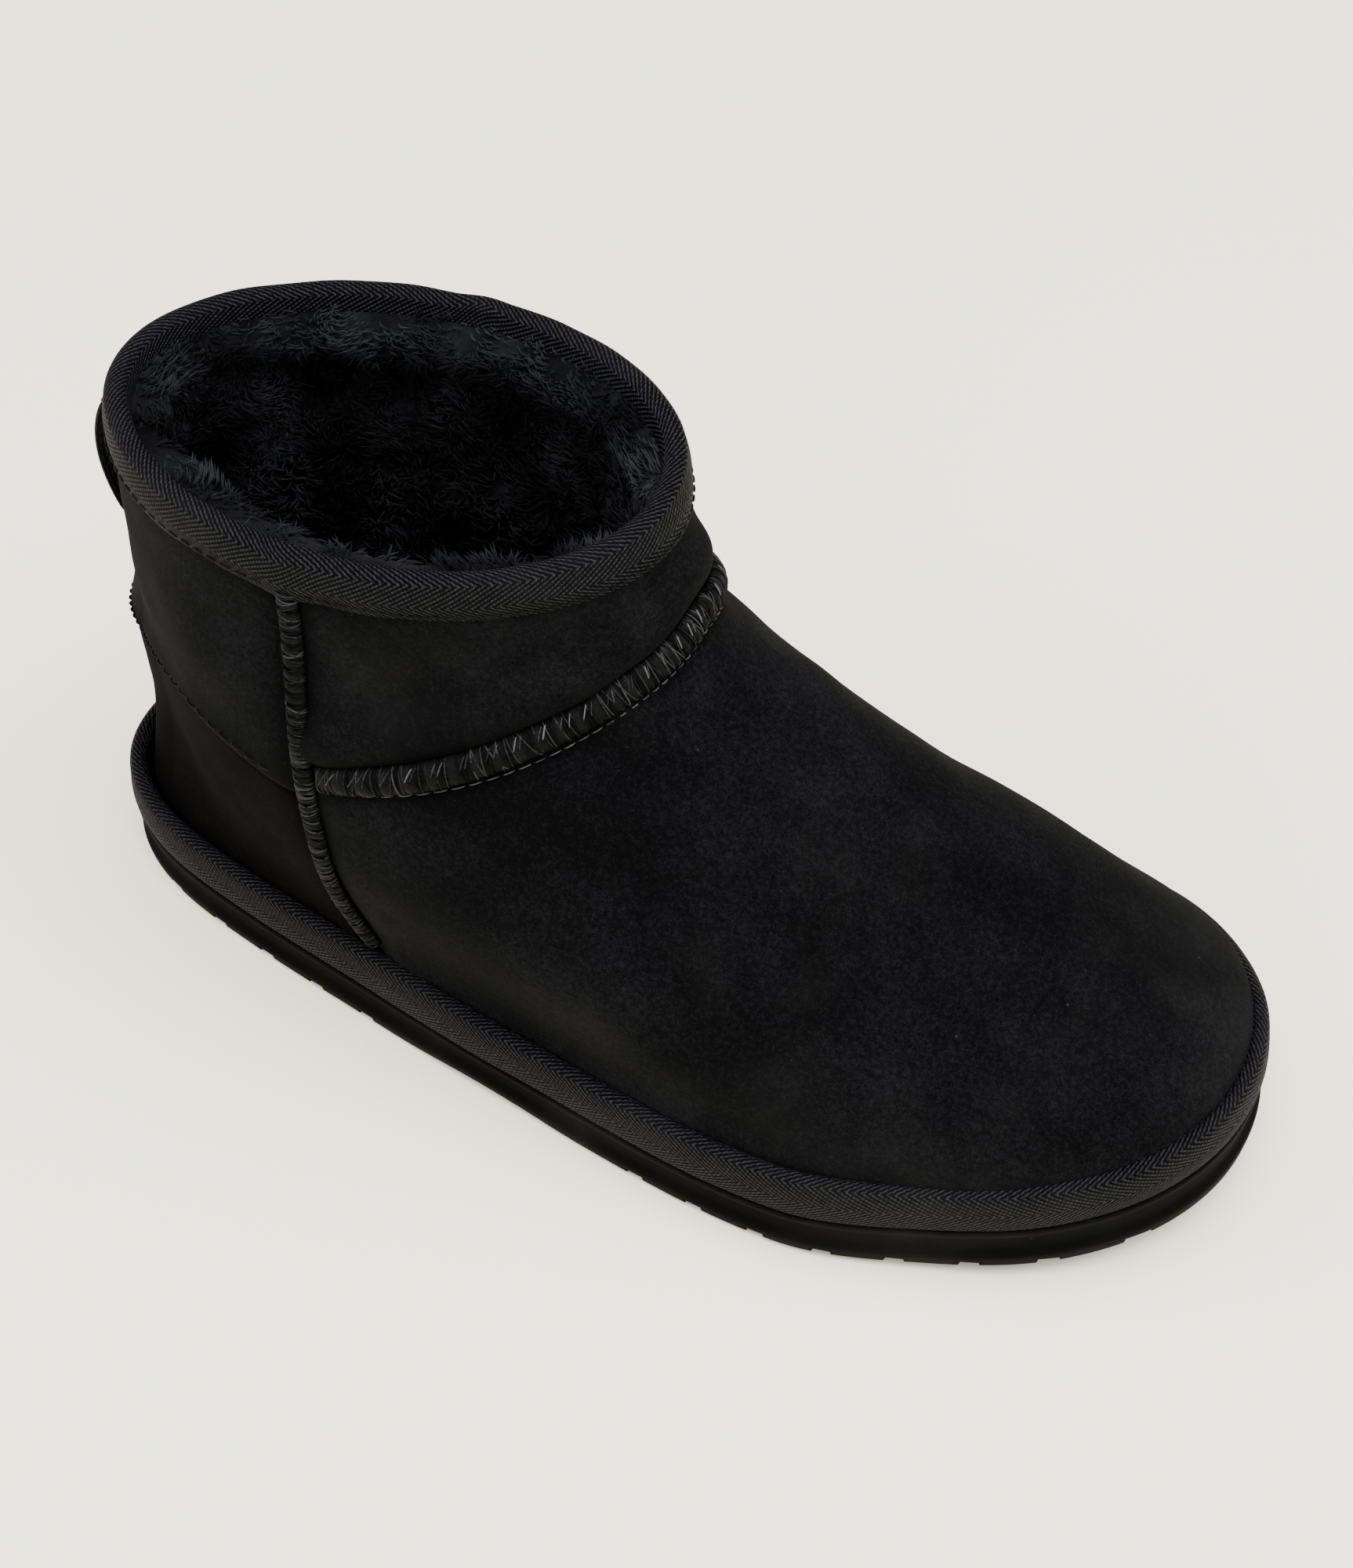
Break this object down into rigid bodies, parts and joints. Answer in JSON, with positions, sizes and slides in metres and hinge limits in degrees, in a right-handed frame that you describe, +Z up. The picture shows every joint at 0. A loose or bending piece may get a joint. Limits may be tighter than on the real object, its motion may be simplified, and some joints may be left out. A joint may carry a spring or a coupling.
{
  "type": "sheepskin ankle boot",
  "caption": "Low sheepskin ankle boot for the right foot, wool inside, with a taped collar and rand, rolled seams, a pull loop and a foam rubber sole.",
  "frame": {"origin": "on the floor under the centre of the boot's box", "axes": "+X to the toe, +Y to the inner side of the right foot, +Z up"},
  "size_m": [0.275, 0.1094, 0.1421],
  "materials": {
    "suede": "napped sheepskin suede, matt",
    "wool": "clipped shearling wool",
    "twill_tape": "herringbone twill tape",
    "thread": "whipped sewing thread",
    "sole_rubber": "moulded foam rubber, satin"
  },
  "bodies": {
    "root": {"outsole": "sole_rubber", "rand": "twill_tape", "upper": "suede", "insole": "wool", "collar_binding": "twill_tape", "instep_seam": "thread", "side_seam_outer": "thread", "side_seam_inner": "thread", "heel_tab": "twill_tape"}
  },
  "joints": []
}
